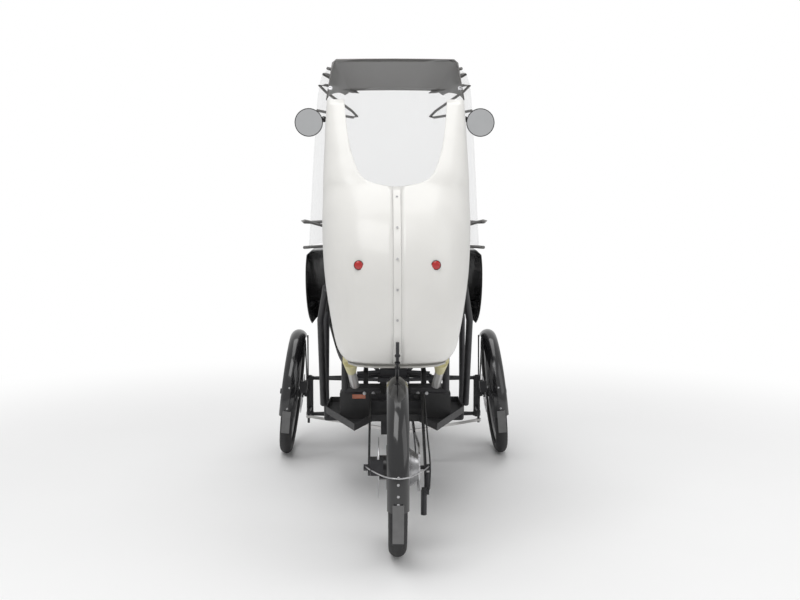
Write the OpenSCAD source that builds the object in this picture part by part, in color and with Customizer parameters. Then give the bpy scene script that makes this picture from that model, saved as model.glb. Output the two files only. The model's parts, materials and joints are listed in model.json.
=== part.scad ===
// Velomobile: a tadpole tricycle, two steered wheels in front and one driven wheel
// behind, under a white two-piece tail shell, a folded roof visor, a clear
// windshield and a black nose. Millimetres, +Y forward, +Z up, ground at z = 0.
// Inside the modules, places along the vehicle are distances forward of the rear axle.

/* [Running gear] */
// Distance between the front and rear axles
wheelbase = 1300; // [1280:5:1320]
// Distance between the front contact patches
track = 882; // [870:2:900]
// Outer radius of the rear tyre
rear_r = 260; // [256:1:262]
// Outer radius of the front tyres
front_r = 250; // [248:1:252]
// Inward lean of the front wheels, in degrees
camber = 6.5; // [4:0.5:7]
// Width of the rear tyre
rear_tyre_w = 54; // [48:1:56]
// Width of the front tyres
front_tyre_w = 48; // [44:1:50]
// Number of spokes in each wheel
spoke_count = 20; // [12:4:28]

/* [Fenders] */
// Width of every fender
fender_w = 62; // [56:1:64]
// Depth of the fender's arc
fender_depth = 20; // [16:1:22]
// Free gap between tyre crown and fender
fender_gap = 10; // [8:1:12]

/* [Body] */
// Thickness of the white tail shell
tail_t = 4; // [3:0.5:5]
// Thickness of the clear windshield
glass_t = 3; // [2:0.5:4]
// Thickness of the black nose and the visor
nose_t = 3; // [2:0.5:4]

/* [Frame] */
// Radius of the main spine tube
spine_r = 22; // [20:1:24]
// Height of the spine tube's axis
spine_z = 235; // [233:1:237]
// Radius of the hoop tubes beside the seat
hoop_r = 12; // [10:1:14]
// Underside of the floor tray
tray_z = 283; // [281:1:285]
// Height of the floor tray's rim
tray_rim = 24; // [18:1:26]

/* [Steering] */
// Distance of each kingpin from the middle of the vehicle
kingpin_x = 345; // [343:1:347]
// Where the handlebar's pivot stands
bar_y = 1040; // [1035:1:1045]
// Length of the steering arms
arm_len = 90; // [88:1:92]
// Length of the crank arms
crank_len = 150; // [140:1:155]

/* [Hidden] */
$fn = 40;
eps = 0.5;
fit = 0.05;          // running clearance of every shaft in its bore
rear_axle_y = -844;  // puts the origin under the middle of the vehicle
rim_r = 203;         // bead seat of a 406 mm rim
axle_r = 6;          // rear axle
stub_r = 7;          // front stub axles
pin_r = 8;           // kingpins and handlebar pivot
rod_pin_r = 5;       // tie rod pins
crank_axle_r = 10;
pedal_pin_r = 6;
front_x = track / 2 - (front_r - front_tyre_w / 2) * sin(camber);
front_z = (front_r - front_tyre_w / 2) * cos(camber) + front_tyre_w / 2;
bb = [0, 1620, 430]; // middle of the crank axle
lower_eye_z = 150;
upper_eye_z = 300;
eye_h = 16;

// ---- helpers ---------------------------------------------------------------

// Puts a shape given forward of the rear axle into the part's frame.
module placed() translate([0, rear_axle_y, 0]) children();

module mirrored_pair() {
  children();
  mirror([1, 0, 0]) children();
}

// A round bar from a to b.
module bar(a, b, r) {
  d = b - a;
  translate(a)
    rotate([0, acos(d[2] / norm(d)), atan2(d[1], d[0])])
      cylinder(r = r, h = norm(d));
}

// A bent tube through a list of points, with ball joints at the bends.
module bent_tube(points, r) {
  for (i = [0 : len(points) - 2]) bar(points[i], points[i + 1], r);
  for (i = [1 : len(points) - 2]) translate(points[i]) sphere(r = r);
}

// A cylinder along X, centred on a point.
module x_cyl(r, h, at = [0, 0, 0]) translate(at) rotate([0, 90, 0]) cylinder(r = r, h = h, center = true);

function unit(v) = v / norm(v);
function lerp(a, b, t) = a + (b - a) * t;

function grid_normal(g, i, j) =
  let (n = len(g) - 1, m = len(g[0]) - 1,
       a = g[min(i + 1, n)][j] - g[max(i - 1, 0)][j],
       b = g[i][min(j + 1, m)] - g[i][max(j - 1, 0)])
    unit(cross(a, b));

// A closed skin of thickness t under a grid of points. Its outside faces the
// direction cross(along the rows, along the columns).
module skin(g, t) {
  n = len(g);
  m = len(g[0]);
  outer = [for (r = g) for (p = r) p];
  inner = [for (i = [0 : n - 1]) for (j = [0 : m - 1]) g[i][j] - t * grid_normal(g, i, j)];
  function o(i, j) = i * m + j;
  function u(i, j) = n * m + i * m + j;
  quads = concat(
    [for (i = [0 : n - 2]) for (j = [0 : m - 2]) [o(i, j), o(i, j + 1), o(i + 1, j + 1), o(i + 1, j)]],
    [for (i = [0 : n - 2]) for (j = [0 : m - 2]) [u(i, j), u(i + 1, j), u(i + 1, j + 1), u(i, j + 1)]],
    [for (i = [0 : n - 2]) [o(i, 0), o(i + 1, 0), u(i + 1, 0), u(i, 0)]],
    [for (i = [0 : n - 2]) [o(i + 1, m - 1), o(i, m - 1), u(i, m - 1), u(i + 1, m - 1)]],
    [for (j = [0 : m - 2]) [o(0, j), u(0, j), u(0, j + 1), o(0, j + 1)]],
    [for (j = [0 : m - 2]) [o(n - 1, j + 1), u(n - 1, j + 1), u(n - 1, j), o(n - 1, j)]]);
  polyhedron(points = concat(outer, inner),
             faces = [for (q = quads) for (f = [[q[0], q[1], q[2]], [q[0], q[2], q[3]]]) f],
             convexity = 8);
}

// ---- wheels ----------------------------------------------------------------

// Tyre about the X axis: a ring of round section, cut flat where it sits on the rim.
module tyre(r, w) {
  color("#222222")
    rotate([0, 90, 0])
      rotate_extrude()
        difference() {
          translate([r - w / 2, 0]) circle(r = w / 2);
          translate([rim_r - 40, -w]) square([40, 2 * w]);
          translate([rim_r - eps, -10]) square([w * 0.42, 20]);
        }
}

// Rim, spokes and hub about the X axis, with a bore for the axle.
module laced_wheel(flange_r, flange_x, hub_r, hub_l, bore_r) {
  color("#1c1c1e")
    difference() {
      union() {
        rotate([0, 90, 0])
          rotate_extrude()
            polygon([[rim_r - 0.8, -13], [rim_r - 0.8, 13], [rim_r - 6, 13], [rim_r - 20, 7],
                     [rim_r - 20, -7], [rim_r - 6, -13]]);
        x_cyl(hub_r, hub_l);
        for (s = [-1, 1]) x_cyl(flange_r, 4, [s * flange_x, 0, 0]);
        for (i = [0 : spoke_count - 1])
          let (a = i * 360 / spoke_count, s = (i % 2) * 2 - 1)
            bar([s * flange_x, cos(a + s * 22) * (flange_r - 3), sin(a + s * 22) * (flange_r - 3)],
                [s * 2, cos(a) * (rim_r - 12), sin(a) * (rim_r - 12)], 1.4);
      }
      x_cyl(bore_r, hub_l + 20);
    }
}

// Brake disc about the X axis, with windows between its six arms.
module brake_disc(r, bore) {
  color("#9a9ca0")
    rotate([0, 90, 0])
      linear_extrude(height = 2, center = true)
        difference() {
          circle(r = r);
          circle(r = bore);
          for (i = [0 : 5]) rotate(i * 60 + 10)
            difference() {
              intersection() {
                circle(r = r - 15);
                polygon([[0, 0], [200, 0], [200 * cos(38), 200 * sin(38)]]);
              }
              circle(r = bore + 10);
            }
        }
}

// Fender about the X axis from angle a0 to a1, measured from straight back over the top.
module fender(r, a0, a1, colour = "#161616") {
  crown = r + fender_gap + 2;
  arc_r = (pow(fender_w / 2, 2) + pow(fender_depth, 2)) / (2 * fender_depth);
  color(colour)
    rotate([0, 90, 0]) rotate([0, 0, 270 - a1])
        rotate_extrude(angle = a1 - a0)
          intersection() {
            difference() {
              translate([crown - arc_r, 0]) circle(r = arc_r);
              translate([crown - arc_r, 0]) circle(r = arc_r - 2);
            }
            translate([crown - fender_depth, -100]) square([100, 200]);
          }
}

// ---- frame -----------------------------------------------------------------

module main_frame() color("#1a1a1c") placed() difference() {
  union() {
    bar([0, 330, spine_z], [0, wheelbase, spine_z], spine_r);
    bar([0, wheelbase, spine_z], bb, spine_r);
    x_cyl(24, 68, bb);
    // bearers under the tray
    for (y = [600, 840]) translate([-50, y - 15, spine_z - 6]) cube([100, 30, tray_z - spine_z + 6]);
    // axle box that carries the wishbones
    for (z = [lower_eye_z, upper_eye_z])
      translate([-65, wheelbase - 58, z]) cube([130, 114, eye_h]);
    translate([-56, wheelbase - 20, lower_eye_z + 5]) cube([112, 40, 190]);
    // pivot pin of the handlebar
    translate([0, bar_y, 178]) cylinder(r = pin_r, h = spine_z - 178);
    // rear cross tube, its uprights and the fork's pivot ears
    for (s = [-1, 1]) {
      translate([s * 42 - 8, 370, 393]) cube([16, 130, 18]);
      bar([s * 30, wheelbase, 300], [s * 310, 1330, 624], 8);
    }
    translate([-60, 351, 386]) cube([120, 28, 28]);
    translate([-25, 355, spine_z + 4]) cube([50, 20, 160]);
    x_cyl(11, 344, [0, 500, 402]);
  }
  x_cyl(crank_axle_r + fit, 90, bb);
}

module side_hoops() color("#1a1a1c") placed() mirrored_pair()
  bent_tube([[262, 800, 296], [259, 600, 631], [234, 505, 752], [196, 455, 748], [168, 428, 640],
             [172, 500, 404]], hoop_r);

module floor_tray() color("#262628") placed() difference() {
  outline = [[-138, 400], [-80, 550], [80, 550], [138, 400], [248, 700], [240, 890],
             [-240, 890], [-248, 700]];
  translate([0, 0, tray_z]) linear_extrude(height = tray_rim) polygon(outline);
  translate([0, 0, tray_z + 4]) linear_extrude(height = tray_rim) offset(delta = -4) polygon(outline);
  for (x = [-150, 150]) for (y = [830, 870])
    translate([x, y, tray_z - 1]) cylinder(r = 3.2, h = 10, $fn = 24);
}

module battery_box() color("#2c2a2b") placed() difference() {
  translate([-193, 575, tray_z + 4]) cube([386, 75, 112]);
  for (s = [-1, 1]) translate([s * 193, 570, tray_z + 116]) rotate([0, 45, 0]) translate([-16, 0, -16])
    cube([32, 90, 32]);
}

module rear_fork() color("#202022") placed() {
  for (s = [-1, 1])
    translate([s * 84, 0, 0]) rotate([90, 0, 90]) linear_extrude(height = 6, center = true)
      polygon([[-22, 250], [-12, 238], [30, 236], [200, 318], [360, 372], [386, 390], [386, 418],
               [350, 424], [180, 372], [0, 284], [-20, 275]]);
  for (s = [-1, 1]) x_cyl(14, 21, [s * 71, 365, 400]);
  translate([-84, 306, 376]) cube([168, 14, 26]);
  x_cyl(axle_r, 200, [0, 0, rear_r]);
  translate([-100, 0, rear_r]) rotate([0, 90, 0]) cylinder(r = 10, h = 12.5, $fn = 6);
  translate([87.5, 0, rear_r]) rotate([0, 90, 0]) cylinder(r = 10, h = 12.5, $fn = 6);
}

module wishbones() color("#1c1c1e") placed() mirrored_pair() difference() {
  union() for (z = [lower_eye_z, upper_eye_z]) {
    translate([kingpin_x, wheelbase, z]) cylinder(r = 16, h = eye_h);
    for (dy = [-45, 45])
      bar([65.5, wheelbase + dy, z + eye_h / 2], [kingpin_x - 6, wheelbase, z + eye_h / 2], 7);
  }
  translate([kingpin_x, wheelbase, 0]) cylinder(r = pin_r + fit, h = 400);
}

module shock_absorbers() color("#3a3a3d") placed() mirrored_pair() {
  bar([230, wheelbase, 176], [150, wheelbase, 322], 7);
  bar([208, wheelbase, 216], [158, wheelbase, 307], 19);
  bar([56.5, wheelbase, 332], [150, wheelbase, 326], 9);
}

// ---- seat ------------------------------------------------------------------

// Profile of the seat's face from its top edge to its front edge: [y, z, half width].
seat_rows = [[385, 1060, 105], [425, 860, 135], [470, 680, 148], [535, 530, 150],
             [625, 455, 150], [750, 430, 150], [850, 455, 140]];
seat_cols = [-1, -0.8, -0.4, 0, 0.4, 0.8, 1];

// The seat's face, raised by up along its normal; its sides curl forward and up.
function seat_face(wide) = [for (r = seat_rows) [for (c = seat_cols)
  [c * r[2] * wide, r[0] + 26 * pow(abs(c), 3), r[1] + 26 * pow(abs(c), 3)]]];

module seat_shell() color("#1b1b1d") placed() {
  skin(seat_face(1), 5);
  for (s = [-1, 1]) translate([s * 105 - 8, 690, tray_z + 4]) cube([16, 120, 146]);
}

module seat_pad() color("#242425") placed()
  translate([0, 15.3, 15.3]) skin(seat_face(0.86), 14);

// ---- white tail shell ------------------------------------------------------

// Sections of the tail shell from its bottom edge to the pillar tops:
// [z, x at the middle or window edge, y there, widest half width, y there, front y].
tail_rows = [
  [572, 12, -12, 158, 120, 300], [592, 12, -44, 178, 135, 330], [625, 12, -68, 190, 150, 350],
  [700, 12, -88, 204, 165, 380], [800, 12, -94, 220, 185, 405], [880, 12, -82, 227, 205, 425],
  [960, 12, -44, 231, 225, 440], [1030, 12, 24, 231, 245, 455], [1092, 12, 108, 230, 270, 465],
  [1102, 86, 128, 230, 275, 466], [1130, 116, 152, 230, 290, 468], [1205, 143, 235, 229, 345, 473],
  [1290, 158, 325, 228, 400, 480], [1374, 167, 415, 225, 450, 488]];
tail_cols = 8;

// Outer point j of a section: a rounded quarter from the middle to the side, then the front edge.
function tail_point(r, j) =
  j == tail_cols + 1 ? [r[3] - 2, max(r[5], r[4] + 20), r[0]]
  : let (a = 90 * j / tail_cols, p = 0.82)
    [r[1] + (r[3] - r[1]) * pow(sin(a), p), r[4] - (r[4] - r[2]) * pow(cos(a), p), r[0]];

// Built on the left, where rows upward and columns outward give an outward normal.
module tail_half()
  skin([for (r = tail_rows) [for (j = [tail_cols + 1 : -1 : 0]) tail_point(r, j)]], tail_t);

module tail_shell_left() color("#f2f2f0") placed() mirror([1, 0, 0]) tail_half();

module tail_shell_right() color("#f2f2f0") placed() tail_half();

module tail_seam_strip() color("#f2f2f0") placed()
  skin([for (i = [0 : 8]) [for (x = [11.5, 0, -11.5]) [x, tail_rows[i][2], tail_rows[i][0]]]], tail_t);

module tail_floor() color("#d8d6d0") placed()
  translate([0, 0, 560]) linear_extrude(height = 5)
    polygon([[-70, -8], [70, -8], [120, 20], [146, 70], [150, 120], [150, 395], [-150, 395],
             [-150, 120], [-146, 70], [-120, 20]]);

module shell_posts() color("#d6d4d2") placed() mirrored_pair()
  bar([138, 506, 414], [148, 450, 476], 15);

module post_couplers() color("#e3dcae") placed() mirrored_pair() {
  a = [148.1, 449.5, 476.5];
  b = [150, 400, 518];
  translate(a) rotate([0, acos((b - a)[2] / norm(b - a)), atan2((b - a)[1], (b - a)[0])])
    cylinder(r1 = 16, r2 = 26, h = norm(b - a));
  translate([126, 360, 520]) cube([48, 60, 39.7]);
}

module roof_visor() color("#5f5e5b") placed()
  skin([for (r = [[505, 550, 1518, 206, 1378, 231], [620, 640, 1511, 200, 1400, 232],
                  [780, 790, 1495, 190, 1426, 222], [930, 930, 1470, 177, 1442, 200],
                  [1000, 1000, 1455, 170, 1438, 186]])
        [[r[5], r[0], r[4]], [r[3] + 6, r[1], r[2] - 12], [r[3] - 8, r[1], r[2]], [0, r[1], r[2] + 3],
         [8 - r[3], r[1], r[2]], [-r[3] - 6, r[1], r[2] - 12], [-r[5], r[0], r[4]]]], nose_t);

// ---- clear windshield and black nose ---------------------------------------

// Level rings of the windshield: [z, half width, y of the open rear edge, y of the front].
glass_rows = [[865, 322, 1002, 1470], [960, 314, 975, 1430], [1050, 307, 945, 1380],
              [1200, 293, 865, 1270], [1365, 276, 785, 1150], [1450, 266, 752, 1075],
              [1490, 252, 752, 1035], [1507, 226, 756, 1010]];
glass_cols = 16;

function glass_point(r, j) =
  let (a = 180 * j / glass_cols, p = 0.7)
    [-r[1] * sign(cos(a)) * pow(abs(cos(a)), p), r[2] + (r[3] - r[2]) * pow(sin(a), p), r[0]];

module windshield() color([0.85, 0.87, 0.88, 0.35]) placed()
  skin([for (r = glass_rows) [for (j = [glass_cols : -1 : 0]) glass_point(r, j)]], glass_t);

// Sections of the nose: [y, half width, z of the lower edge, z of the deck].
nose_rows = [[1000, 336, 573, 850], [1150, 334, 571, 853], [1300, 328, 569, 852],
             [1450, 312, 565, 846], [1570, 292, 500, 815], [1670, 266, 350, 770],
             [1780, 232, 272, 704], [1870, 184, 262, 626], [1935, 116, 290, 540],
             [1958, 46, 350, 462]];

// Half outline of a nose section from its lower edge to the middle of the deck, as
// [share of the half width, share of the height].
nose_outline = [[0.93, 0], [0.97, 0.08], [1, 0.4], [1, 0.8], [0.985, 0.94],
                [0.94, 0.99], [0.7, 1], [0, 1.02]];

function nose_section(r) = concat(
  [for (o = nose_outline) [-r[1] * o[0], r[0], lerp(r[2], r[3], o[1])]],
  [for (i = [6 : -1 : 0]) let (o = nose_outline[i]) [r[1] * o[0], r[0], lerp(r[2], r[3], o[1])]]);

module nose_fairing() color("#101010") placed()
  skin([for (r = nose_rows) nose_section(r)], nose_t);

module mirrors() color("#222222") placed() mirrored_pair() {
  translate([303, 725, 1318]) rotate([-90, 0, 0]) cylinder(r1 = 50, r2 = 40, h = 14);
  bar([303, 738, 1318], [303, 752, 1318], 12);
  bar([303, 750, 1318], [256, 766, 1332], 5);
  translate([252, 768, 1332]) sphere(r = 11, $fn = 24);
  bar([254, 768, 1332], [281, 806, 1332], 4);
}

// ---- lamps -----------------------------------------------------------------

module tail_lights() color("#c01818") placed() mirrored_pair()
  translate([111, -56, 867]) rotate([90, 0, 0]) cylinder(r = 14, h = 14);

module rear_reflector() color("#b3552a") placed()
  translate([-147, 485.5, 376]) cube([45, 3, 14]);

// ---- rear running gear -----------------------------------------------------

module rear_fender() placed() translate([0, 0, rear_r]) fender(rear_r, -14, 128);

module mudflap(r, a0, a1) color("#6b6b6b") {
  crown = r + fender_gap + 3;
  rotate([0, 90, 0]) rotate([0, 0, 270 - a1])
    rotate_extrude(angle = a1 - a0) polygon([[crown, -16], [crown, 16], [crown + 2.5, 16], [crown + 2.5, -16]]);
}

module rear_mudflap() placed() translate([0, 0, rear_r]) mudflap(rear_r, -36, -8);

module rear_tyre() placed() translate([0, 0, rear_r]) tyre(rear_r, rear_tyre_w);

module rear_wheel() placed() translate([0, 0, rear_r]) laced_wheel(66, 30, 36, 106, axle_r + fit);

module rear_disc() placed() translate([-55, 0, rear_r]) brake_disc(90, 36.02);

module cassette() color("#8a8c90") placed() difference() {
  union() {
    x_cyl(38.5, 28, [48, 0, rear_r]);
    for (i = [0 : 6]) x_cyl(58 - i * 3, 2.6, [36.5 + i * 4, 0, rear_r]);
  }
  x_cyl(36.02, 100, [36, 0, rear_r]);
}

module rear_caliper() color("#2a2a2c") placed() difference() {
  translate([-79, -106, 262]) cube([38, 46, 46]);
  translate([-59.5, -97, 250]) cube([9, 60, 66]);
}

module derailleur() color("#2a2a2c") placed() {
  bar([89, -6, 246], [89, -20, 200], 9);
  translate([80, -34, 186]) cube([14, 28, 22]);
  bar([79, -20, 196], [79, -10, 120], 9);
  x_cyl(9, 20, [82, -20, 196]);
}

// A flat band of links around the chainring, under the tray and around the sprockets.
module chain() color("#3a3a3c") placed() {
  ring = [for (a = [215 : -31 : -64]) [bb[1] + 90 * cos(a), bb[2] + 90 * sin(a)]];
  hub = [for (a = [-75 : -30 : -285]) [67 * cos(a), rear_r + 67 * sin(a)]];
  path = concat([[420, 270], [1180, 270], [1390, 286]], ring, [[1390, 250], [1180, 238], [420, 238]], hub);
  translate([64, 0, 0]) rotate([90, 0, 90]) linear_extrude(height = 5, center = true)
    for (i = [0 : len(path) - 1]) hull() {
      translate(path[i]) circle(r = 3.5, $fn = 12);
      translate(path[(i + 1) % len(path)]) circle(r = 3.5, $fn = 12);
    }
}

// ---- front corners, built on the right -------------------------------------

module on_side(left) mirror([left ? 1 : 0, 0, 0]) placed() children();

module at_wheel() translate([front_x, wheelbase, front_z]) rotate([0, -camber, 0]) children();

module knuckle(left) color("#2a2a2c") on_side(left) {
  translate([kingpin_x, wheelbase, lower_eye_z - 4]) cylinder(r = pin_r, h = upper_eye_z - lower_eye_z + 24);
  translate([kingpin_x, wheelbase, lower_eye_z + eye_h + 1])
    cylinder(r = 14, h = upper_eye_z - lower_eye_z - eye_h - 2);
  at_wheel() {
    x_cyl(12, 26, [-61, 0, 0]);
    x_cyl(stub_r, 100, [0, 0, 0]);
    x_cyl(11, 6, [49.5, 0, 0]);
    // brake caliper, open around the disc, and its bracket
    difference() {
      translate([-60, -94, 20]) cube([28, 42, 46]);
      translate([-44.5, -85, 0]) cube([9, 60, 100]);
    }
    bar([-60, -4, 10], [-50, -62, 44], 7);
    bar([-60, -26, 16], [-60, 26, 16], 6);
  }
  bar([kingpin_x, wheelbase, 186], [kingpin_x, wheelbase - arm_len, 186], 8);
  translate([kingpin_x, wheelbase - arm_len, 140]) cylinder(r = rod_pin_r, h = 50);
}

module front_fender(left) on_side(left) at_wheel() {
  fender(front_r, -12, 118);
  color("#161616") {
    for (s = [-1, 1]) bar([-32, s * 75, 233], [-60, s * 22, 16], 3);
  }
}

module front_mudflap(left) on_side(left) at_wheel() mudflap(front_r, -27, -6);

module front_tyre(left) on_side(left) at_wheel() tyre(front_r, front_tyre_w);

module front_wheel(left) on_side(left) at_wheel() laced_wheel(28, 22, 17, 90, stub_r + fit);

module front_disc(left) on_side(left) at_wheel() translate([-40, 0, 0]) brake_disc(80, 17.02);

module tie_rod(left) {
  z = left ? 166 : 150;
  rod_run = [kingpin_x, wheelbase - bar_y];
  color("#8c8e92") on_side(left) difference() {
    translate([0, 0, z - 5]) linear_extrude(height = 10) {
      translate([kingpin_x, wheelbase - arm_len]) circle(r = 10);
      translate([0, bar_y - arm_len]) circle(r = 12);
      translate([0, bar_y - arm_len]) rotate(atan2(rod_run[1], rod_run[0]))
        translate([9, -4]) square([norm(rod_run) - 17, 8]);
    }
    translate([kingpin_x, wheelbase - arm_len, z - 9]) cylinder(r = rod_pin_r + fit, h = 18);
    translate([0, bar_y - arm_len, z - 9]) cylinder(r = rod_pin_r + 2, h = 18);
  }
}

// ---- controls --------------------------------------------------------------

module handlebar() color("#1f1f21") placed() difference() {
  union() {
    translate([0, bar_y, 183]) cylinder(r = 20, h = 24);
    translate([0, bar_y - arm_len, 140]) cylinder(r = rod_pin_r, h = 60);
    bar([0, bar_y - 10, 194], [0, bar_y - arm_len, 194], 8);
    for (s = [-1, 1])
      bent_tube([[0, bar_y, 195], [s * 262, bar_y, 195], [s * 262, bar_y - 40, 330],
                 [s * 252, bar_y - 170, 610], [s * 246, bar_y - 190, 640]], 11);
  }
  translate([0, bar_y, 0]) cylinder(r = pin_r + fit, h = 260);
}

module hand_grips() color("#141414") placed() mirrored_pair()
  bar([246, bar_y - 190.2, 640.3], [236, bar_y - 232, 745], 16);

module crankset() color("#2b2b2d") placed() difference() {
  translate(bb) union() {
    x_cyl(crank_axle_r, 150);
    for (s = [-1, 1]) {
      x_cyl(18, 14, [s * 75, 0, 0]);
      bar([s * 76, 0, 0], [s * 80, s * crank_len, 0], 8);
      x_cyl(13, 14, [s * 81, s * crank_len, 0]);
    }
    difference() {
      x_cyl(80, 3, [64, 0, 0]);
      for (i = [0 : 4]) rotate([i * 72, 0, 0]) x_cyl(17, 20, [64, 50, 0]);
    }
    x_cyl(22, 8, [66, 0, 0]);
  }
  for (s = [-1, 1]) x_cyl(pedal_pin_r + fit, 30, bb + [s * 81, s * crank_len, 0]);
}

module pedal(s) color("#1c1c1c") placed() translate(bb + [0, s * crank_len, 0]) {
  x_cyl(pedal_pin_r, 104, [s * 126, 0, 0]);
  for (dy = [-34, 24]) translate([s * 134 - 40, dy, -11]) cube([80, 10, 22]);
  for (dx = [-40, 32]) translate([s * 134 + dx, -26, -11]) cube([8, 52, 22]);
  x_cyl(13, 66, [s * 134, 0, 0]);
}

// ---- nodes -----------------------------------------------------------------

main_frame();
side_hoops();
floor_tray();
battery_box();
rear_fork();
seat_shell();
seat_pad();
tail_shell_left();
tail_shell_right();
tail_seam_strip();
tail_floor();
roof_visor();
windshield();
nose_fairing();
mirrors();
tail_lights();
rear_reflector();
shell_posts();
post_couplers();
rear_fender();
rear_mudflap();
derailleur();
chain();
rear_caliper();
wishbones();
shock_absorbers();
rear_tyre();
rear_wheel();
rear_disc();
cassette();
knuckle(true);  // knuckle_left
front_fender(true);  // front_fender_left
front_mudflap(true);  // front_mudflap_left
knuckle(false);  // knuckle_right
front_fender(false);  // front_fender_right
front_mudflap(false);  // front_mudflap_right
front_tyre(true);  // front_tyre_left
front_wheel(true);  // front_wheel_left
front_disc(true);  // front_disc_left
front_tyre(false);  // front_tyre_right
front_wheel(false);  // front_wheel_right
front_disc(false);  // front_disc_right
handlebar();
hand_grips();
tie_rod(true);  // tie_rod_left
tie_rod(false);  // tie_rod_right
crankset();
pedal(-1);  // pedal_left
pedal(1);  // pedal_right
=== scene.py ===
"""Looks of the velomobile: detail, materials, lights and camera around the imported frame."""
import json
import math

import bmesh
import bpy
from mathutils import Matrix, Vector

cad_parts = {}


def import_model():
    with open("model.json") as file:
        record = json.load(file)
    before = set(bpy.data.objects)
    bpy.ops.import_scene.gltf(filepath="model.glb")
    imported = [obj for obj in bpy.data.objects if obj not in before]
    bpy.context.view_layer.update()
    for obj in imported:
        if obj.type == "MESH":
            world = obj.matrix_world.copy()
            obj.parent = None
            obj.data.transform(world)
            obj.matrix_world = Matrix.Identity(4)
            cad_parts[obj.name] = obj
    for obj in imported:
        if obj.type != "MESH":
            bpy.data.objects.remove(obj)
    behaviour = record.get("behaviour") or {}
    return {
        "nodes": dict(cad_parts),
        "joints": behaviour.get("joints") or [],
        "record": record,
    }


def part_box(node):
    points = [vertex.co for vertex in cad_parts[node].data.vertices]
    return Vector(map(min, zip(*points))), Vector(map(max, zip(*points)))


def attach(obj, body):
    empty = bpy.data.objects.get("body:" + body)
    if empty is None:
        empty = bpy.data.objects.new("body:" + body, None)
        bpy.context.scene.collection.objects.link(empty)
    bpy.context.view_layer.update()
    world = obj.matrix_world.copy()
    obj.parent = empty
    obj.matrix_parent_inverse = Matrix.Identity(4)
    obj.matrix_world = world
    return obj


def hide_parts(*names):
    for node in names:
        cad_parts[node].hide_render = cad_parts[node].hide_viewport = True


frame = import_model()
NODES = frame["nodes"]
JOINTS = {j["name"]: j for j in frame["joints"]}
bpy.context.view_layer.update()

# ---- camera ------------------------------------------------------------------------
CAMERA_AT = (-0.038, -4.083, 1.082)
CAMERA_PITCH = math.radians(5.67)
CAMERA_YAW = math.radians(0.82)

camera_data = bpy.data.cameras.new("camera")
camera_data.lens = 50
camera_data.sensor_width = 36
camera = bpy.data.objects.new("camera", camera_data)
camera.location = CAMERA_AT
camera.rotation_euler = (math.pi / 2 - CAMERA_PITCH, 0, -CAMERA_YAW)
bpy.context.scene.collection.objects.link(camera)
bpy.context.scene.camera = camera
bpy.context.scene.view_settings.view_transform = "Standard"


# ---- materials ---------------------------------------------------------------------
def material(name, colour, rough=0.4, metal=0.0, scale=30.0, vary=0.08, grain=400.0,
             bump=0.05, coat=0.0, sheen=0.0, alpha=1.0):
    """A surface whose colour and roughness drift slowly, with a fine grain in its bump."""
    mat = bpy.data.materials.new(name)
    mat.use_nodes = True
    nodes, links = mat.node_tree.nodes, mat.node_tree.links
    shader = nodes["Principled BSDF"]
    shader.inputs["Metallic"].default_value = metal
    shader.inputs["Coat Weight"].default_value = coat
    shader.inputs["Coat Roughness"].default_value = 0.08
    shader.inputs["Sheen Weight"].default_value = sheen
    shader.inputs["Alpha"].default_value = alpha
    place = nodes.new("ShaderNodeTexCoord")
    drift = nodes.new("ShaderNodeTexNoise")
    drift.inputs["Scale"].default_value = scale
    drift.inputs["Detail"].default_value = 5
    links.new(place.outputs["Object"], drift.inputs["Vector"])
    tint = nodes.new("ShaderNodeValToRGB")
    for stop, factor, at in ((0, 1 - vary, 0.3), (1, 1 + vary, 0.7)):
        tint.color_ramp.elements[stop].position = at
        tint.color_ramp.elements[stop].color = [min(1, c * factor) for c in colour] + [1]
    links.new(drift.outputs["Fac"], tint.inputs["Fac"])
    links.new(tint.outputs["Color"], shader.inputs["Base Color"])
    gloss = nodes.new("ShaderNodeMapRange")
    gloss.inputs["To Min"].default_value = max(0.02, rough * 0.8)
    gloss.inputs["To Max"].default_value = min(1, rough * 1.25)
    links.new(drift.outputs["Fac"], gloss.inputs["Value"])
    links.new(gloss.outputs["Result"], shader.inputs["Roughness"])
    fine = nodes.new("ShaderNodeTexNoise")
    fine.inputs["Scale"].default_value = grain
    links.new(place.outputs["Object"], fine.inputs["Vector"])
    relief = nodes.new("ShaderNodeBump")
    relief.inputs["Strength"].default_value = bump
    relief.inputs["Distance"].default_value = 0.002
    links.new(fine.outputs["Fac"], relief.inputs["Height"])
    links.new(relief.outputs["Normal"], shader.inputs["Normal"])
    return mat


def woven(name, colour, thread):
    """Cloth: two crossed waves raise the threads."""
    mat = material(name, colour, rough=0.85, vary=0.2, sheen=0.4)
    nodes, links = mat.node_tree.nodes, mat.node_tree.links
    place = nodes.new("ShaderNodeTexCoord")
    waves = []
    for direction in ("X", "Z"):
        wave = nodes.new("ShaderNodeTexWave")
        wave.bands_direction = direction
        wave.inputs["Scale"].default_value = thread
        links.new(place.outputs["Object"], wave.inputs["Vector"])
        waves.append(wave)
    both = nodes.new("ShaderNodeMath")
    both.operation = "MULTIPLY"
    links.new(waves[0].outputs["Fac"], both.inputs[0])
    links.new(waves[1].outputs["Fac"], both.inputs[1])
    relief = [n for n in nodes if n.type == "BUMP"][0]
    links.new(both.outputs["Value"], relief.inputs["Height"])
    relief.inputs["Strength"].default_value = 0.5
    return mat


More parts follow.
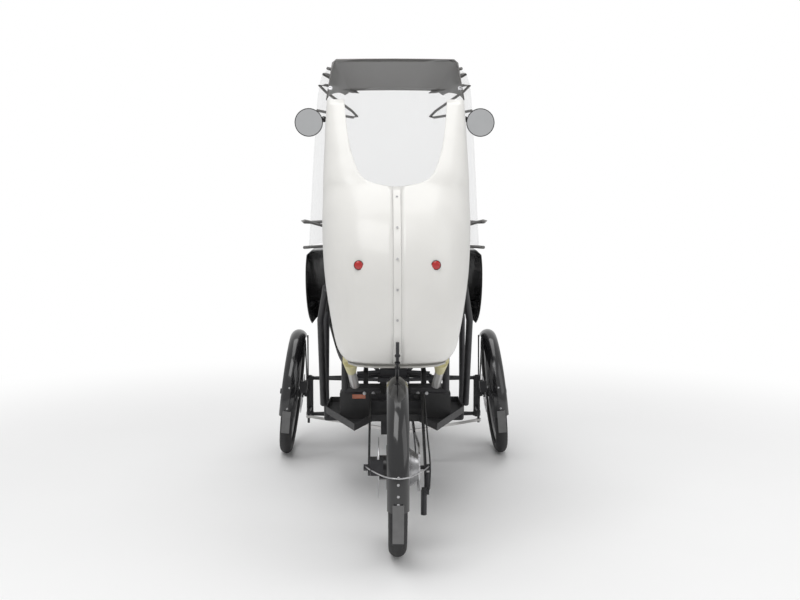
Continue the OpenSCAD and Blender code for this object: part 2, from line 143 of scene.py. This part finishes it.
MATERIALS = {
    "white_shell": material("white_shell", (0.8, 0.79, 0.76), 0.33, vary=0.03, scale=6,
                            coat=0.3, bump=0.02),
    "black_paint": material("black_paint", (0.022, 0.022, 0.024), 0.35, coat=0.3),
    "dark_metal": material("dark_metal", (0.035, 0.035, 0.038), 0.42, metal=0.3, vary=0.2),
    "steel": material("steel", (0.5, 0.5, 0.51), 0.28, metal=1.0, vary=0.15, grain=900),
    "alloy": material("alloy", (0.66, 0.65, 0.64), 0.35, metal=0.6, vary=0.06),
    "tyre_rubber": material("tyre_rubber", (0.02, 0.02, 0.021), 0.72, vary=0.25, bump=0.25),
    "smoke": material("smoke", (0.19, 0.185, 0.18), 0.38, vary=0.08, scale=8, coat=0.2),
    "clear": material("clear", (0.8, 0.82, 0.83), 0.12, vary=0.02, scale=5, bump=0.0,
                      coat=0.5, alpha=0.13),
    "black_gloss": material("black_gloss", (0.012, 0.012, 0.013), 0.14, vary=0.2, scale=9,
                            coat=0.6, bump=0.01),
    "tray_plastic": material("tray_plastic", (0.032, 0.032, 0.033), 0.55, vary=0.15, bump=0.3),
    "flap_rubber": material("flap_rubber", (0.15, 0.15, 0.15), 0.6, vary=0.12, bump=0.2),
    "seat_cloth": woven("seat_cloth", (0.03, 0.03, 0.033), 260),
    "cream": material("cream", (0.75, 0.7, 0.42), 0.5, vary=0.05),
    "red_lens": material("red_lens", (0.45, 0.012, 0.012), 0.12, vary=0.25, coat=0.8),
    "amber_lens": material("amber_lens", (0.42, 0.09, 0.02), 0.15, vary=0.3, coat=0.8),
    "grip_rubber": material("grip_rubber", (0.018, 0.018, 0.018), 0.8, bump=0.5),
}
MIRROR = material("mirror_glass", (0.75, 0.76, 0.77), 0.05, metal=1.0, vary=0.02, bump=0.0)
# a darker copy of the white shell's colour: painted shade for the downward-facing underside
SHADE_PAINTED_UNDERSIDE = material("shade_painted_underside", (0.5, 0.49, 0.46), 0.5, vary=0.04, scale=6)

for sub in frame["record"]["subparts"]:
    mesh = NODES[sub["node"]].data
    mesh.materials.clear()
    mesh.materials.append(MATERIALS[sub["material_slot"]])


# ---- making pieces -----------------------------------------------------------------
def keep(obj, body, slot, replaced=(), mat=None):
    """Gives a new object its material, taken from its slot unless one is given, and its body."""
    if obj.name not in bpy.context.scene.collection.objects:
        bpy.context.scene.collection.objects.link(obj)
    obj.data.materials.clear()
    obj.data.materials.append(mat or MATERIALS[slot])
    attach(obj, body)
    if replaced:
        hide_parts(*replaced)
    return obj


def from_bmesh(bm, name, body, slot, replaced=(), mat=None, sharp=40):
    """Turns a bmesh into a smooth-shaded piece, with edges steeper than sharp kept crisp."""
    bmesh.ops.recalc_face_normals(bm, faces=bm.faces)
    for face in bm.faces:
        face.smooth = True
    for edge in bm.edges:
        if len(edge.link_faces) == 2 and edge.calc_face_angle(0) > math.radians(sharp):
            edge.smooth = False
    mesh = bpy.data.meshes.new(name)
    bm.to_mesh(mesh)
    bm.free()
    return keep(bpy.data.objects.new(name, mesh), body, slot, replaced, mat)


def lathe(bm, profile, origin, direction, segments=24):
    """Adds a turned shape: profile is [(radius, height along direction)]."""
    turn = Vector((0, 0, 1)).rotation_difference(Vector(direction)).to_matrix().to_4x4()
    place = Matrix.Translation(origin) @ turn
    rings = []
    for radius, height in profile:
        rings.append([bm.verts.new(place @ Vector((radius * math.cos(a), radius * math.sin(a), height)))
                      for a in (2 * math.pi * k / segments for k in range(segments))])
    for low, high in zip(rings, rings[1:]):
        for k in range(segments):
            bm.faces.new((low[k], low[(k + 1) % segments], high[(k + 1) % segments], high[k]))
    bm.faces.new(rings[0][::-1])
    bm.faces.new(rings[-1])


def smooth_path(points, steps=6):
    """A Catmull-Rom curve through the points."""
    pts = [Vector(p) for p in points]
    pts = [2 * pts[0] - pts[1]] + pts + [2 * pts[-1] - pts[-2]]
    path = []
    for a, b, c, d in zip(pts, pts[1:], pts[2:], pts[3:]):
        for k in range(steps):
            t = k / steps
            path.append(0.5 * (2 * b + (c - a) * t + (2 * a - 5 * b + 4 * c - d) * t * t
                               + (3 * b - a - 3 * c + d) * t ** 3))
    return path + [pts[-2]]


def tube(bm, points, radius, sides=10, steps=6):
    """Adds a round wire or hose along a smooth curve through the points."""
    path = smooth_path(points, steps)
    rings = []
    side = (path[1] - path[0]).orthogonal().normalized()
    for k, point in enumerate(path):
        along = (path[min(k + 1, len(path) - 1)] - path[max(k - 1, 0)]).normalized()
        side = (side - along * side.dot(along)).normalized()
        up = along.cross(side)
        rings.append([bm.verts.new(point + radius * (side * math.cos(a) + up * math.sin(a)))
                      for a in (2 * math.pi * n / sides for n in range(sides))])
    for low, high in zip(rings, rings[1:]):
        for n in range(sides):
            bm.faces.new((low[n], low[(n + 1) % sides], high[(n + 1) % sides], high[n]))
    bm.faces.new(rings[0][::-1])
    bm.faces.new(rings[-1])


BOLT = [(1.0, 0), (1.0, 0.35), (0.85, 0.6), (0.5, 0.62), (0.45, 0.3), (0.01, 0.3)]
RIVET = [(1.0, 0), (0.9, 0.25), (0.6, 0.45), (0.2, 0.52), (0.01, 0.53)]


def fasteners(name, body, places, radius, shape=BOLT):
    """Bolt or rivet heads, one at each (place, direction)."""
    bm = bmesh.new()
    for place, direction in places:
        lathe(bm, [(r * radius, h * radius) for r, h in shape], place, direction, 18)
    from_bmesh(bm, name, body, "steel", mat=MATERIALS["steel"])


def refined(node, name, body, slot, levels=2, crease=35, mat=None):
    """A smooth copy of a sheet-like CAD node, which it stands for."""
    bm = bmesh.new()
    bm.from_mesh(NODES[node].data)
    bmesh.ops.remove_doubles(bm, verts=bm.verts, dist=1e-5)
    bmesh.ops.join_triangles(bm, faces=bm.faces, angle_face_threshold=math.radians(25),
                             angle_shape_threshold=math.radians(60))
    creases = bm.edges.layers.float.new("crease_edge")
    for edge in bm.edges:
        if len(edge.link_faces) == 2 and edge.calc_face_angle(0) > math.radians(crease):
            edge[creases] = 1.0
    for face in bm.faces:
        face.smooth = True
    mesh = bpy.data.meshes.new(name)
    bm.to_mesh(mesh)
    bm.free()
    obj = bpy.data.objects.new(name, mesh)
    keep(obj, body, slot, [node], mat)
    surface = obj.modifiers.new("surface", "SUBSURF")
    surface.levels = surface.render_levels = levels
    return obj


def middle(node):
    """The centre of a CAD node's box."""
    low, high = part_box(node)
    return (low + high) / 2


# ---- shells ------------------------------------------------------------------------
for side in ("left", "right"):
    refined(f"tail_shell_{side}", f"tail_skin_{side}", "frame", "white_shell")
refined("tail_seam_strip", "tail_seam", "frame", "white_shell")
refined("nose_fairing", "nose_skin", "frame", "black_gloss")
refined("windshield", "windshield_pane", "frame", "clear")
refined("roof_visor", "visor_fold", "frame", "smoke", levels=1, crease=20)
refined("seat_shell", "seat_bucket", "frame", "tray_plastic", crease=30)
# the tail floor gets the darker shell colour, painted shade under the tail
NODES["tail_floor"].data.materials[0] = SHADE_PAINTED_UNDERSIDE

# ---- seat pad ----------------------------------------------------------------------
CHANNEL_PITCH = 0.055
CHANNEL_DEPTH = 0.0035


def seat_pad():
    """The pad with sewn channels across it, pulled in along each seam."""
    bm = bmesh.new()
    bm.from_mesh(NODES["seat_pad"].data)
    bmesh.ops.remove_doubles(bm, verts=bm.verts, dist=1e-5)
    bmesh.ops.join_triangles(bm, faces=bm.faces, angle_face_threshold=math.radians(30),
                             angle_shape_threshold=math.radians(60))
    mesh = bpy.data.meshes.new("pad_shape")
    bm.to_mesh(mesh)
    bm.free()
    source = bpy.data.objects.new("pad_shape", mesh)
    bpy.context.scene.collection.objects.link(source)
    surface = source.modifiers.new("surface", "SUBSURF")
    surface.levels = 4
    bpy.context.view_layer.update()
    evaluated = source.evaluated_get(bpy.context.evaluated_depsgraph_get())
    pad = bpy.data.meshes.new_from_object(evaluated)
    bpy.data.objects.remove(source)
    moved = []
    for vertex in pad.vertices:
        run = vertex.co.z - vertex.co.y * 0.8
        seam = abs(math.sin(math.pi * run / CHANNEL_PITCH))
        depth = CHANNEL_DEPTH * max(0, 1 - 3 * seam) - 0.0015 * seam
        moved.append(vertex.co - vertex.normal * depth)
    for vertex, place in zip(pad.vertices, moved):
        vertex.co = place
    for polygon in pad.polygons:
        polygon.use_smooth = True
    obj = keep(bpy.data.objects.new("seat_cushion", pad), "frame", "seat_cloth", ["seat_pad"])


seat_pad()

# ---- tyres -------------------------------------------------------------------------
REAR_TYRE_WIDTH = 0.054
FRONT_TYRE_WIDTH = 0.048
TREAD_BLOCKS = 84        # blocks around each shoulder, three steps of the mesh to a block
TREAD_ACROSS = 30        # mesh steps over the tyre's section
SECTION_REACH = 128      # degrees either way from the crown down to the rim
SHOULDER = (18, 62)      # degrees from the crown where the blocks are
WALL_LINE = (60, 66)     # degrees from the crown of the line around the sidewall
GROOVE = 0.0016
WALL_LINE_DEPTH = 0.001


def tyre_piece(node, body, spin):
    """A round tyre, slick on the crown, with blocks cut into its shoulders."""
    low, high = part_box(node)
    outer = (high.y - low.y) / 2
    half = (REAR_TYRE_WIDTH if node == "rear_tyre" else FRONT_TYRE_WIDTH) / 2
    around = TREAD_BLOCKS * 3
    axis = Vector(JOINTS[spin]["axis"])
    turn = Vector((1, 0, 0)).rotation_difference(axis).to_matrix().to_4x4()
    place = Matrix.Translation((low + high) / 2) @ turn
    bm = bmesh.new()
    rings = []
    for k in range(around):
        a = 2 * math.pi * k / around
        ring = []
        for n in range(TREAD_ACROSS + 1):
            b = math.radians(-SECTION_REACH + 2 * SECTION_REACH * n / TREAD_ACROSS)
            from_crown = abs(math.degrees(b))
            shift = 1 if b > 0 else 0
            gap = (k + shift + abs(n - TREAD_ACROSS // 2) // 3) % 3 == 0
            cut = GROOVE if SHOULDER[0] < from_crown < SHOULDER[1] and gap else 0
            cut += WALL_LINE_DEPTH if WALL_LINE[0] < from_crown < WALL_LINE[1] else 0
            reach = half - cut
            r = outer - half + reach * math.cos(b)
            ring.append(bm.verts.new(place @ Vector((reach * math.sin(b), r * math.cos(a),
                                                     r * math.sin(a)))))
        rings.append(ring)
    for k in range(around):
        this, following = rings[k], rings[(k + 1) % around]
        for n in range(TREAD_ACROSS):
            bm.faces.new((this[n], following[n], following[n + 1], this[n + 1]))
        bm.faces.new((this[0], this[-1], following[-1], following[0]))
    from_bmesh(bm, node + "_tread", body, "tyre_rubber", [node], sharp=25)


tyre_piece("rear_tyre", "rear_wheel", "rear_spin")
for side in ("left", "right"):
    tyre_piece(f"front_tyre_{side}", f"front_wheel_{side}", f"front_spin_{side}")

# ---- lamps and mirrors -------------------------------------------------------------
def tail_lamps():
    """Two domed red lenses in shallow dark rings."""
    low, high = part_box("tail_lights")
    radius = (high.z - low.z) / 2
    lenses, rings = bmesh.new(), bmesh.new()
    for x in (low.x + radius, high.x - radius):
        at = Vector((x, low.y + 0.006, (low.z + high.z) / 2))
        lathe(lenses, [(radius * 0.92, -0.006), (radius * 0.92, 0.001), (radius * 0.8, 0.0035),
                       (radius * 0.5, 0.0052), (radius * 0.05, 0.006)], at, (0, -1, 0), 36)
        lathe(rings, [(radius, -0.006), (radius, 0.0015), (radius * 0.94, 0.0025),
                      (radius * 0.9, 0.001), (radius * 0.9, -0.006)], at, (0, -1, 0), 36)
    from_bmesh(lenses, "tail_lamp_lenses", "frame", "red_lens", ["tail_lights"])
    from_bmesh(rings, "tail_lamp_rings", "frame", "dark_metal")


def mirror_glass():
    """A slightly domed mirror on the rear face of each disc."""
    low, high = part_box("mirrors")
    radius = (high.z - low.z) / 2
    bm = bmesh.new()
    for x in (low.x + radius, high.x - radius):
        lathe(bm, [(radius * 0.94, 0.0), (radius * 0.94, 0.0008), (radius * 0.7, 0.0014),
                   (radius * 0.02, 0.0018)], (x, low.y + 0.0004, (low.z + high.z) / 2), (0, -1, 0), 48)
    from_bmesh(bm, "mirror_glass", "frame", "steel", mat=MIRROR)


tail_lamps()
mirror_glass()


SEAM_SCREWS = 6
SEAM_SCREW = 0.0035


def seam_screws():
    """Small screws down the seam strip, set on its surface."""
    strip = NODES["tail_seam_strip"].data
    low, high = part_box("tail_seam_strip")
    centre = sorted([v.co.copy() for v in strip.vertices if abs(v.co.x) < 0.001], key=lambda c: c.y)
    rows = {}
    for point in centre:
        rows.setdefault(round(point.z, 2), point)
    outline = sorted(rows.values(), key=lambda c: c.z)
    places = []
    spacing = (high.z - low.z - 0.08) / (SEAM_SCREWS - 1)
    for z in [low.z + 0.05 + k * spacing for k in range(SEAM_SCREWS)]:
        for a, b in zip(outline, outline[1:]):
            if a.z <= z < b.z:
                at = a.lerp(b, (z - a.z) / (b.z - a.z))
                rise = (b - a).normalized()
                places.append((at, (0, -rise.z, rise.y)))
                break
    fasteners("seam_screws", "frame", places, SEAM_SCREW)


seam_screws()

# ---- fasteners and wires -----------------------------------------------------------
def bracket_bolts():
    """One bolt at each side of the visor's rear fold, and two on each post bracket."""
    sides = (-1, 1)
    low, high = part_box("roof_visor")
    in_from_side, in_from_rear, up = 0.016, 0.012, 0.04
    visor = [((s * (high.x - in_from_side), low.y + in_from_rear, low.z + up), (0, -1, 0.3))
             for s in sides]
    fasteners("visor_bolts", "frame", visor, VISOR_BOLT)
    low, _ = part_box("shell_posts")
    ahead, down = 0.026, 0.006
    posts = [((s * x, low.y + ahead, low.z - down), (0, -1, 0)) for s in sides for x in POST_BOLTS_X]
    fasteners("post_bolts", "frame", posts, POST_BOLT)


VISOR_BOLT = 0.008
POST_BOLT = 0.006
POST_BOLTS_X = (0.075, 0.105)
bracket_bolts()


CROWN_GAP = 0.0118    # from the tyre's crown to the outside of its fender
RIVET_RADIUS = 0.004


def fender_rivets(node, body, spin, angles):
    """Pairs of rivets on the back of a fender's crown."""
    low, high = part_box(node.replace("fender", "tyre"))
    crown = (high.y - low.y) / 2 + CROWN_GAP
    axis = Vector(JOINTS[spin]["axis"])
    turn = Vector((1, 0, 0)).rotation_difference(axis).to_matrix()
    places = []
    for angle in angles:
        out = turn @ Vector((0, -math.cos(math.radians(angle)), math.sin(math.radians(angle))))
        places.append(((low + high) / 2 + out * crown, out))
    fasteners(node + "_rivets", body, places, RIVET_RADIUS, RIVET)


fender_rivets("rear_fender", "frame", "rear_spin", [8, 4, -3, -8])
for side in ("left", "right"):
    fender_rivets(f"front_fender_{side}", f"knuckle_{side}", f"front_spin_{side}", [14, -4, -8])


def fender_bow():
    """The wire bow that holds the rear fender, from axle end to axle end."""
    low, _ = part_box("rear_fender")
    hub = middle("rear_tyre")
    bm = bmesh.new()
    tube(bm, [(-0.094, hub.y - 0.004, hub.z + 0.004), (-0.072, hub.y - 0.12, hub.z + 0.02),
              (-0.036, low.y + 0.03, hub.z + 0.035), (0, low.y + 0.0035, hub.z + 0.036),
              (0.036, low.y + 0.03, hub.z + 0.035), (0.072, hub.y - 0.12, hub.z + 0.02),
              (0.094, hub.y - 0.004, hub.z + 0.004)], 0.0022)
    from_bmesh(bm, "fender_bow", "frame", "steel")


fender_bow()


def housings():
    """The cable housing that runs from the fork to the derailleur."""
    gear = middle("derailleur")
    _, fork_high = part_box("rear_fork")
    bm = bmesh.new()
    tube(bm, [(gear.x + 0.004, gear.y, gear.z + 0.012), (gear.x + 0.01, gear.y - 0.035, gear.z + 0.03),
              (gear.x + 0.012, gear.y - 0.03, gear.z + 0.1), (gear.x + 0.01, gear.y + 0.12, gear.z + 0.15),
              (0.092, fork_high.y - 0.04, fork_high.z - 0.01)], 0.0025)
    from_bmesh(bm, "cable_housing", "frame", "dark_metal")


def tail_strap():
    """The short strap from the tail shell's lower edge to the fender's crown, with its ties."""
    _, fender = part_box("rear_fender")
    shell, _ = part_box("tail_seam_strip")
    bm = bmesh.new()
    tube(bm, [(0, shell.y + 0.008, shell.z + 0.075), (0, shell.y + 0.018, shell.z + 0.03),
              (0, shell.y + 0.07, shell.z - 0.01), (0, shell.y + 0.095, fender.z + 0.002)], 0.005)
    for along, up in ((0.016, 0.035), (0.03, 0.012), (0.068, -0.008)):
        lathe(bm, [(0.0075, -0.002), (0.0085, 0), (0.0075, 0.002)],
              (0, shell.y + along, shell.z + up), (0, 0.5, -1), 16)
    from_bmesh(bm, "tail_strap", "frame", "dark_metal")


RING_POINTS = 12     # levels with more points than this are taken for rings


def pane_trim():
    """Dark wire near the top and the foot of the windshield's open rear edges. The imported
    mesh repeats its points, so some inner points pass for rings, and the wire strays there."""
    low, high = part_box("windshield")
    bm = bmesh.new()
    rings = {}
    for vertex in NODES["windshield"].data.vertices:
        rings.setdefault(round(vertex.co.z, 4), []).append(vertex.co.copy())
    level = [ring for ring in rings.values() if len(ring) > RING_POINTS]
    for s in (-1, 1):
        line = [min((p for p in ring if p.x * s > 0), key=lambda p: (round(p.y, 3), -p.x * s))
                for ring in level]
        line.sort(key=lambda p: p.z)
        top = [p for p in line if p.z > high.z - 0.16]
        foot = [p for p in line if p.z < low.z + 0.11]
        for part, radius in ((top, 0.005), (foot, 0.006)):
            if len(part) > 1:
                tube(bm, [p * 0.999 for p in part], radius, steps=4)
    from_bmesh(bm, "pane_trim", "frame", "smoke")


housings()
tail_strap()
pane_trim()


# ---- stage, lamps and world --------------------------------------------------------
PAPER_SHADOW_REACH = 1.3
PAPER_WHITE_FROM = 3.2


def stage():
    """The pale paper floor."""
    bpy.ops.mesh.primitive_plane_add(size=60, location=(0, 10, 0))
    floor = bpy.context.object
    floor.name = "floor"
    paper = material("paper", (0.93, 0.93, 0.93), 0.9, vary=0.004, scale=2, bump=0.0)
    floor.data.materials.append(paper)
    # far from the object the paper is plain white to the camera, and gives no light
    nodes, links = paper.node_tree.nodes, paper.node_tree.links
    place = nodes.new("ShaderNodeTexCoord")
    reach = nodes.new("ShaderNodeVectorMath")
    reach.operation = "LENGTH"
    offset = nodes.new("ShaderNodeVectorMath")
    offset.inputs[1].default_value = (0, 10, 0)
    links.new(place.outputs["Object"], offset.inputs[0])
    links.new(offset.outputs["Vector"], reach.inputs[0])
    fade = nodes.new("ShaderNodeMapRange")
    fade.interpolation_type = "SMOOTHSTEP"
    fade.inputs["From Min"].default_value = PAPER_SHADOW_REACH
    fade.inputs["From Max"].default_value = PAPER_WHITE_FROM
    links.new(reach.outputs["Value"], fade.inputs["Value"])
    path = nodes.new("ShaderNodeLightPath")
    both = nodes.new("ShaderNodeMath")
    both.operation = "MULTIPLY"
    links.new(fade.outputs["Result"], both.inputs[0])
    links.new(path.outputs["Is Camera Ray"], both.inputs[1])
    white = nodes.new("ShaderNodeEmission")
    mix = nodes.new("ShaderNodeMixShader")
    links.new(both.outputs["Value"], mix.inputs["Fac"])
    links.new(nodes["Principled BSDF"].outputs["BSDF"], mix.inputs[1])
    links.new(white.outputs["Emission"], mix.inputs[2])
    links.new(mix.outputs["Shader"], nodes["Material Output"].inputs["Surface"])


def area_lamp(name, at, target, size, power):
    """A square lamp facing its target."""
    data = bpy.data.lights.new(name, "AREA")
    data.size = size
    data.energy = power
    lamp = bpy.data.objects.new(name, data)
    lamp.location = at
    lamp.rotation_euler = (Vector(target) - Vector(at)).to_track_quat("-Z", "Y").to_euler()
    bpy.context.scene.collection.objects.link(lamp)


SKY_LIGHT = 0.55     # the world's strength on the object; the camera sees 1


def world():
    """White to the camera and through glass, softer as a light."""
    sky = bpy.data.worlds.new("studio")
    sky.use_nodes = True
    bpy.context.scene.world = sky
    nodes, links = sky.node_tree.nodes, sky.node_tree.links
    background = nodes["Background"]
    background.inputs["Color"].default_value = (1, 1, 1, 1)
    path = nodes.new("ShaderNodeLightPath")
    seen = nodes.new("ShaderNodeMath")
    seen.operation = "MAXIMUM"
    links.new(path.outputs["Is Camera Ray"], seen.inputs[0])
    links.new(path.outputs["Is Transmission Ray"], seen.inputs[1])
    strength = nodes.new("ShaderNodeMapRange")
    strength.inputs["To Min"].default_value = SKY_LIGHT
    strength.inputs["To Max"].default_value = 1.0
    links.new(seen.outputs["Value"], strength.inputs["Value"])
    links.new(strength.outputs["Result"], background.inputs["Strength"])


stage()
area_lamp("key", (-1.2, -2.6, 4.6), (0, 0, 0.8), 3.0, 75)
area_lamp("fill", (3.4, -1.6, 2.2), (0, 0, 0.7), 3.0, 22)
area_lamp("top", (0, 1.0, 4.5), (0, 0, 0.8), 3.5, 60)
world()
